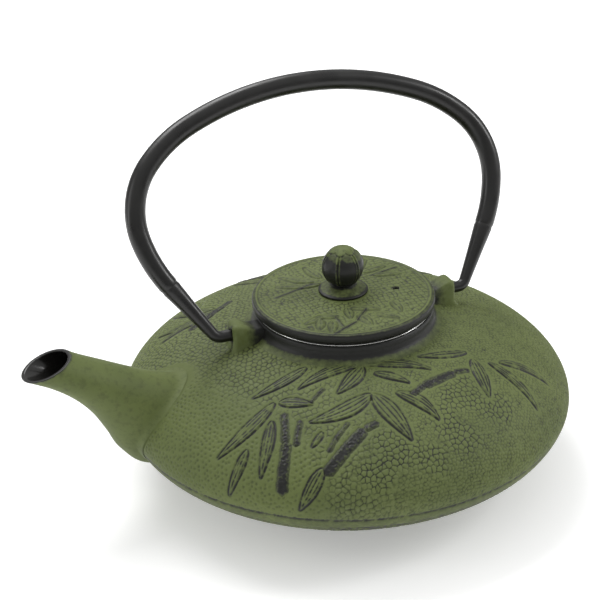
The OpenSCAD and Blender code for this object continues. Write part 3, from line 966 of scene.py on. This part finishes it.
def lidTop():
    lid = lidCasting
    outer = lid["radius"]
    radius = np.linspace(0.5, outer - 1.0, lid["rows"])
    dome = lid["top"] + lid["crown"] * np.cos(radius / outer * math.pi / 2) ** 0.9 - 0.02
    profile = np.stack([radius, dome], axis=-1)
    points = revolve(profile, lid["columns"])
    flat = points.reshape(-1, 3)
    plane = flat[:, :2]
    reach = np.hypot(flat[:, 0], flat[:, 1])
    grain = softNoise(flat, 0.8, 3.0)
    height = np.zeros(len(flat))
    ink = np.zeros(len(flat))
    closest = np.full(len(flat), -99.0)
    for base, tip, width, bend in lid["leaves"]:
        depth, side, _, half = drawLeaf(plane, np.array(base), np.array(tip), width, bend)
        closest = np.maximum(closest, depth)
        inner = smoothStep(0.0, 0.7, depth)
        edge = bump(depth + 0.15, 0.36) * smoothStep(0.1, 0.4, half)
        vein = bump(side, 0.2) * inner
        height = height * (1 - inner) + 0.34 * inner - 0.34 * edge - 0.16 * vein
        lines = edge * (0.3 + 0.5 * grain) + vein * (0.15 + 0.6 * grain) + 0.4 * inner * grain
        ink = np.maximum(ink * (1 - inner), np.clip(lines, 0, 1))
    for start, stop, startWidth, stopWidth in lid["stalks"]:
        depth = drawStalk(plane, np.array(start), np.array(stop), startWidth, stopWidth, 1.0)
        closest = np.maximum(closest, depth)
        inner = smoothStep(-0.1, 0.5, depth)
        height = height * (1 - inner) + 0.25 * inner
        ink = np.maximum(ink, np.clip(inner * (0.6 + 0.6 * grain) + 0.4 * bump(depth + 0.3, 0.35), 0, 1))
    _, gap, shade = cells(flat * np.array([1, 1, 0.2]), 2.2, 2.4, 0.55)
    pebble = smoothStep(0.0, 0.75, gap)
    calm = (1 - smoothStep(-1.8, -0.5, closest)) * smoothStep(outer - 2.2, outer - 3.6, reach)
    calm = calm * smoothStep(10.5, 12, reach)
    height += calm * 0.27 * (pebble - 0.6)
    ink = np.maximum(ink, calm * (1 - pebble) * (0.42 + 0.28 * shade))
    # raised rim round the edge, worn to black
    rim = smoothStep(outer - 2.6, outer - 1.9, reach)
    height += 0.3 * rim * (1 - smoothStep(outer - 1.5, outer - 0.9, reach))
    rimInk = 0.8 * smoothStep(outer - 1.7, outer - 1.0, reach) + 0.5 * bump(reach - (outer - 2.6), 0.4)
    ink = np.maximum(ink, rimInk)
    rubAndSheen = 0.2 + 0.5 * calm * pebble
    ventGap = np.linalg.norm(plane - np.array(lid["vent"]), axis=1)
    hole = smoothStep(lid["ventRadius"] + 0.15, lid["ventRadius"] - 0.15, ventGap)
    # painted shade: the vent is a shallow pit, and its black stands in for the dark inside a hole through the
    # lid
    ink = np.maximum(ink, 1.5 * smoothStep(lid["ventRadius"] + 0.5, lid["ventRadius"] - 0.1, ventGap))
    flat = flat + np.array([0, 0, 1.0]) * (np.minimum(height, 0.32) - 0.02 - 3.1 * hole)[:, None]
    paint = paintLayer(np.clip(ink, 0, 1), rubAndSheen)
    points = flat.reshape(points.shape)
    piece = meshFromGrid("lidTop", points, True, None, paint, ironPaint, flip=True, poles=[0])
    finishPiece(piece, "lid", "lid_iron", "lid")


def lidRim():
    # edge of the lid rolled over from the top, down to the strainer's flange, then underside and skirt
    lid = lidCasting
    r, top, low, plate = lid["radius"], lid["top"], lid["flange"], lid["plateLow"]
    skirt, bottom = lid["skirtRadius"], low - lid["skirtDepth"]
    profile = np.array([
        (r - 1.2, top + 0.1), (r - 0.8, top + 0.05), (r - 0.35, top - 0.15), (r - 0.08, top - 0.5),
        (r, top - 1.0), (r, low + 2.0), (r - 0.15, low + 1.5), (r - 0.6, low + 0.95),
        (r - 1.3, low + 0.4), (r - 2.1, low + 0.1),
        (r - 3.6, low + 0.05), (r - 4, low + 0.4), (r - 4, plate), (skirt, plate), (skirt, bottom + 0.6),
        (skirt - 0.5, bottom), (skirt - 2.0, bottom), (skirt - 2.5, bottom + 0.6), (skirt - 2.5, plate),
        (6.4, plate), (0.3, plate),
    ])
    points = revolve(profile, 288)
    ink = 1.0 - 0.5 * smoothStep(top - 0.5, top, points[..., 2])
    paint = plainPaint(points, ink, 0.6)
    piece = meshFromGrid("lidRim", points, True, None, paint, ironPaint, flip=True, poles=[-1])
    finishPiece(piece, "lid", "lid_iron")


lidTop()
lidRim()
print("stage: lid done")


knobCasting = {
    "radius": 8.8, "centre": 88.0, "foot": 10.3, "footHeight": 77.0, "neck": 4.4, "ribs": 6, "ribRaise": 0.3,
}


def knob():
    # Ball: radius plus two close ribs at each of six meridians. Foot: flared cone with an upright edge.
    k = knobCasting
    start = math.asin(k["neck"] / k["radius"])
    polar = np.linspace(0.02, math.pi - start, 120)
    ball = np.stack([k["radius"] * np.sin(polar), k["centre"] + k["radius"] * np.cos(polar)], axis=-1)
    neck, edge, low = k["neck"], k["foot"], k["footHeight"]
    foot = catmullRom([
        (neck, ball[-1, 1]), (neck + 0.2, low + 3.3), (neck + 1.3, low + 2.6), (edge - 2.6, low + 1.9),
        (edge - 0.6, low + 1.15), (edge - 0.05, low + 0.8), (edge, low + 0.4), (edge - 0.1, low + 0.05),
    ], 5)
    profile = np.concatenate([ball, foot[1:]])
    points = revolve(profile, 288)
    angle = np.arctan2(points[..., 1], points[..., 0])
    onBall = (np.arange(len(profile)) < len(ball))[:, None]
    height = points[..., 2]
    tilt = (height - k["centre"]) / k["radius"]
    waist = np.sqrt(np.clip(1 - tilt**2, 0, 1))
    turn = (angle * k["ribs"] / (2 * np.pi) + 0.12) % 1.0
    off = (np.minimum(turn, 1 - turn) * 2 * np.pi / k["ribs"]) * waist * k["radius"]
    rib = bump(off - 0.62, 0.42) * smoothStep(0.8, 0.7, tilt) * smoothStep(-0.95, -0.7, tilt)
    cut = bump(off, 0.3) * smoothStep(0.8, 0.7, tilt) * smoothStep(-0.95, -0.7, tilt)
    scallop = 0.86 - 0.1 * np.abs(np.cos(angle * k["ribs"] / 2 + 0.3))
    cap = smoothStep(scallop - 0.03, scallop + 0.03, tilt)
    capEdge = bump(tilt - scallop, 0.035)
    pit = bump(tilt - 1.0, 0.03)
    raised = k["ribRaise"] * rib - 0.3 * cut + 0.25 * cap - 0.15 * capEdge - 0.3 * pit
    normals = gridNormals(points)
    flip = np.sign(np.sum(normals[40, 0] * (points[40, 0] - np.array([0, 0, k["centre"]]))))
    points = points + normals * flip * (raised * onBall - 0.28 * onBall)[..., None]
    flat = points.reshape(-1, 3)
    grain = softNoise(flat, 0.7, 4.0).reshape(height.shape)
    drift = softNoise(flat, 3.0, 1.0).reshape(height.shape)
    green = 0.6 * smoothStep(0.4, 0.62, tilt + (drift - 0.5) * 0.3) + 0.4 * cap
    ink = np.where(onBall, 1 - 0.92 * green, 0)
    lines = np.clip(0.75 * capEdge + 0.8 * cut + 0.3 * bump(off - 1.2, 0.4), 0, 1)
    ink = np.maximum(ink, onBall * green * lines * (0.5 + 0.6 * grain))
    ink = np.where(onBall, ink - 0.6 * rib * (0.4 + 0.8 * grain), ink)
    reach = np.hypot(points[..., 0], points[..., 1])
    footInk = 0.35 + 0.55 * smoothStep(edge - 1.3, edge - 0.4, reach) + 0.5 * smoothStep(6.2, 4.8, reach)
    ink = np.where(onBall, ink, footInk + (grain - 0.5) * 0.4)
    paint = paintLayer(np.clip(ink, 0, 1), 0.6)
    piece = meshFromGrid("knobCasting", points, True, None, paint, ironPaint, flip=True, poles=[0])
    finishPiece(piece, "lid", "knob_iron", "knob")


knob()
for name in ("knob_rivet", "rivet_washer"):
    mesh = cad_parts[name].data
    mesh.materials.clear()
    mesh.materials.append(rivetSteel)
print("stage: knob done")


bail = {
    "arcs": [(130, 23), (60, 22), (33, 57), (60, 20)], "crown": 96.5, "elbow": 4.5,
    "radius": 4.2, "tip": 2.4, "lean": 25.5, "pivot": 67.2, "tipStart": 43.0, "sides": 56, "stepLength": 1.1,
}


def bailPath():
    # tangent arcs from the crown outwards, then a straight leg and a tight elbow onto the pivot line:
    # columns x, height and heading in degrees, and the length of the leg and elbow apart
    place = np.array([0.0, bail["crown"]])
    angle = 90.0
    stretches = []
    for radius, turn in bail["arcs"]:
        centre = place - radius * np.array([math.cos(math.radians(angle)), math.sin(math.radians(angle))])
        a = np.linspace(angle, angle - turn, int(radius * math.radians(turn) / bail["stepLength"]) + 2)
        r = np.radians(a)
        bend = np.stack([centre[0] + radius * np.cos(r), centre[1] + radius * np.sin(r), a - 90], axis=-1)
        stretches.append(bend[:-1])
        angle -= turn
        last = math.radians(angle)
        place = centre + radius * np.array([math.cos(last), math.sin(last)])
    legTurn = 90 + angle
    slope = math.radians(legTurn)
    stretches.append(np.array([[place[0], place[1], legTurn - 180]]))
    cornerX = place[0] - place[1] / math.tan(slope)
    run = bail["elbow"] * math.tan(slope / 2)
    elbowTop = np.array([cornerX + run * math.cos(slope), run * math.sin(slope)])
    share = np.linspace(0, 1, 26)[:, None]
    leg = place + (elbowTop - place) * share
    leg = np.concatenate([leg, np.full((26, 1), legTurn - 180)], axis=1)
    a = np.linspace(legTurn, 0, 12)[1:]
    r = np.radians(a - 90)
    tight = bail["elbow"]
    elbow = np.stack([cornerX - run + tight * np.cos(r), tight + tight * np.sin(r), a - 180], axis=-1)
    tip = np.linspace(cornerX - run, bail["tipStart"], 12)[1:]
    straight = np.stack([tip, 0 * tip, 0 * tip - 180], axis=-1)
    return np.concatenate(stretches), np.concatenate([leg, elbow, straight]), len(leg)


def tube(path, radius, closeEnds):
    # circle across the path at each station, with the last station closed when closeEnds, then stood up and
    # leaned back about the pivot
    angle = np.linspace(0, 2 * np.pi, bail["sides"], endpoint=False)
    heading = np.radians(path[:, 2] + 90)
    side = np.stack([np.cos(heading), 0 * heading, np.sin(heading)], axis=-1)
    centre = np.stack([path[:, 0], 0 * path[:, 0], path[:, 1]], axis=-1)
    ring = side[:, None] * np.cos(angle)[None, :, None] + np.array([0, 1.0, 0]) * np.sin(angle)[None, :, None]
    points = centre[:, None] + ring * radius[:, None, None]
    if closeEnds:
        points = np.concatenate([points, np.repeat(centre[-1:, None], len(angle), axis=1) + ring[-1:] * 0.02])
    lean = math.radians(bail["lean"])
    y = points[..., 1] * math.cos(lean) + points[..., 2] * math.sin(lean)
    z = points[..., 2] * math.cos(lean) - points[..., 1] * math.sin(lean) + bail["pivot"]
    return np.stack([points[..., 0], y, z], axis=-1)


def handle():
    half, end, legCount = bailPath()
    other = half[:0:-1] * np.array([-1, 1, -1])
    bow = np.concatenate([other, half])
    radius = np.full(len(bow), bail["radius"])
    fade = np.minimum(np.arange(len(bow)), np.arange(len(bow))[::-1])
    radius -= 0.3 * (fade == 0)
    radius *= 1 - 0.045 * np.clip(1 - fade / 22, 0, 1)
    piece = meshFromGrid("handleBow", tube(bow, radius, False), True, None, None, lacquer, flip=True)
    finishPiece(piece, "handle", "handle_black", "handle_tube")
    share = np.clip(np.arange(len(end)) / (legCount - 1), 0, 1)
    taper = bail["tip"] + (bail["radius"] * 0.955 - bail["tip"]) * (1 - share) ** 1.15
    taper[0] -= 0.25
    taper[-1] -= 0.4
    mirrored = end * np.array([-1, 1, -1])
    back = meshFromGrid("handleEndBack", tube(end, taper, True), True, None, None, lacquer,
                        flip=True, poles=[-1])
    front = meshFromGrid("handleEndSpout", tube(mirrored, taper, True), True, None, None, lacquer,
                         poles=[-1])
    finishPiece(back, "handle", "handle_black", "handle_end_back")
    finishPiece(front, "handle", "handle_black", "handle_end_spout")


handle()
print("stage: handle done")


basket = {"radius": 31.75, "low": 26.0, "high": 69.0, "pitch": 2.2, "hole": 0.62, "sheet": 0.4, "floor": 25.75,
          "flangeRadius": 36.58, "flangeTop": 70.89, "neckRadius": 32.05, "neckLow": 61.5}


def holedCells(centres, halfWidth, halfHeight, hole):
    # each cell is a square frame round a hole: eight rim points, eight edge points and eight quads between
    a = np.arange(8) * np.pi / 4 + np.pi / 4
    rim = np.stack([np.cos(a), np.sin(a)], axis=-1) * hole
    edge = np.array([(1, 1), (0, 1), (-1, 1), (-1, 0), (-1, -1), (0, -1), (1, -1), (1, 0)], float)
    edge = edge * (halfWidth, halfHeight)
    points = np.concatenate([centres[:, None] + rim, centres[:, None] + edge], axis=1)
    k = np.arange(8)
    face = np.stack([k, k + 8, (k + 1) % 8 + 8, (k + 1) % 8], axis=-1)
    quads = (np.arange(len(centres)) * 16)[:, None, None] + face[None]
    return points.reshape(-1, 2), quads.reshape(-1, 4)


def weldAndThicken(piece, thickness):
    weld = piece.modifiers.new("weld", "WELD")
    weld.merge_threshold = 0.00002
    solid = piece.modifiers.new("sheet", "SOLIDIFY")
    solid.thickness = thickness * mm
    solid.offset = 0


def strainerWall():
    b = basket
    around = round(2 * math.pi * b["radius"] / b["pitch"])
    rows = round((b["high"] - b["low"]) / b["pitch"])
    step = 2 * math.pi * b["radius"] / around
    rise = (b["high"] - b["low"]) / rows
    i, j = np.meshgrid(np.arange(around), np.arange(rows))
    centres = np.stack([(i + 0.5) * step, b["low"] + (j + 0.5) * rise], axis=-1).reshape(-1, 2)
    flat, quads = holedCells(centres, step / 2, rise / 2, b["hole"])
    angle = flat[:, 0] / b["radius"]
    points = np.stack([b["radius"] * np.cos(angle), b["radius"] * np.sin(angle), flat[:, 1]], axis=-1)
    piece = buildMesh("strainerWall", points, quads, None, stainless)
    weldAndThicken(piece, b["sheet"])
    finishPiece(piece, "strainer", "strainer_steel", "infuser_wall")


def strainerFloor():
    b = basket
    count = int(b["radius"] / b["pitch"])
    i, j = np.meshgrid(np.arange(-count, count + 1), np.arange(-count, count + 1))
    centres = np.stack([i, j], axis=-1).reshape(-1, 2) * b["pitch"]
    centres = centres[np.hypot(*centres.T) < b["radius"] - 2.6]
    flat, quads = holedCells(centres, b["pitch"] / 2, b["pitch"] / 2, b["hole"])
    points = np.concatenate([flat, np.full((len(flat), 1), b["floor"])], axis=1)
    piece = buildMesh("strainerFloor", points, quads, None, stainless)
    weldAndThicken(piece, b["sheet"])
    finishPiece(piece, "strainer", "strainer_steel", "infuser_base")


def strainerFlange():
    # flat flange with a rounded edge, turned down into the neck that holds the wall
    b = basket
    edge, top, neck = b["flangeRadius"], b["flangeTop"], b["neckRadius"]
    low = top - 0.46
    profile = np.array([
        (neck, b["neckLow"]), (neck, top - 0.35), (neck + 0.15, top - 0.1), (neck + 0.4, top),
        (edge - 0.25, top), (edge - 0.08, top - 0.07), (edge, top - 0.23), (edge - 0.08, top - 0.39),
        (edge - 0.25, low),
        (neck + 0.7, low), (neck + 0.5, top - 0.6), (neck + 0.42, b["neckLow"]), (neck, b["neckLow"]),
    ])
    piece = meshFromGrid("strainerFlange", revolve(profile, 288), True, None, None, stainless, flip=True)
    finishPiece(piece, "strainer", "strainer_steel", "infuser_rim")


strainerWall()
strainerFloor()
strainerFlange()
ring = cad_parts["infuser_base_ring"].data
ring.materials.clear()
ring.materials.append(stainless)
print("stage: strainer done")


stageLook = {"floor": "#f4f4f4", "floorSize": 6000, "glow": 0.3, "top": 0.76, "side": 0.28}


def setStage():
    half = stageLook["floorSize"] / 2
    corners = np.array([[(-half, -half, 0), (half, -half, 0)], [(-half, half, 0), (half, half, 0)]], float)
    m = newMaterial("paperFloor")
    place = addNode(m, "ShaderNodeTexCoord")
    tooth = addNode(m, "ShaderNodeTexNoise", {"Scale": perMetre / 60, "Detail": 2.0},
                    [("Vector", place, "Object")])
    tint = addNode(m, "ShaderNodeMix",
                   {"data_type": "RGBA", 6: hexColour(stageLook["floor"]), 7: hexColour("#f7f7f7")},
                   [(0, tooth, "Fac")])
    shader = addNode(m, "ShaderNodeBsdfPrincipled",
                     {"Roughness": 0.9, "Specular IOR Level": 0.1, "Emission Color": (1, 1, 1, 1),
                      "Emission Strength": stageLook["glow"]}, [("Base Color", tint, 2)])
    endMaterial(m, shader)
    floor = meshFromGrid("paperFloor", corners, False, None, None, m)


def areaLight(name, place, target, size, power):
    data = bpy.data.lights.new(name, "AREA")
    data.shape = "RECTANGLE"
    data.size, data.size_y = size
    data.energy = power
    lamp = bpy.data.objects.new(name, data)
    lamp.location = place
    lamp.rotation_euler = (Vector(target) - Vector(place)).to_track_quat("-Z", "Y").to_euler()
    bpy.context.scene.collection.objects.link(lamp)


def studioWorld():
    # a bright ceiling that falls off to dimmer walls
    world = bpy.data.worlds.new("studio")
    world.use_nodes = True
    world.node_tree.nodes.clear()
    place = addNode(world, "ShaderNodeTexCoord")
    axes = addNode(world, "ShaderNodeSeparateXYZ", links=[("Vector", place, "Generated")])
    fall = addNode(world, "ShaderNodeMapRange", {"From Min": 0.05, "From Max": 0.9, "To Min": stageLook["side"],
                                                 "To Max": stageLook["top"]}, [("Value", axes, "Z")])
    light = addNode(world, "ShaderNodeBackground", {"Color": (1, 1, 1, 1)}, [("Strength", fall, 0)])
    output = addNode(world, "ShaderNodeOutputWorld")
    world.node_tree.links.new(light.outputs[0], output.inputs["Surface"])
    bpy.context.scene.world = world


setStage()
studioWorld()
areaLight("softboxKey", (-0.12, 0.62, 1.05), (0, 0, 0.05), (0.8, 0.6), 9)
areaLight("softboxLeft", (-1.1, 0.15, 0.45), (0, 0, 0.08), (0.25, 0.7), 1.9)
areaLight("softboxRight", (0.95, -0.3, 0.7), (0, 0, 0.08), (0.25, 0.6), 4.5)
bpy.context.scene.view_settings.view_transform = "Standard"
print("stage: floor and light done")
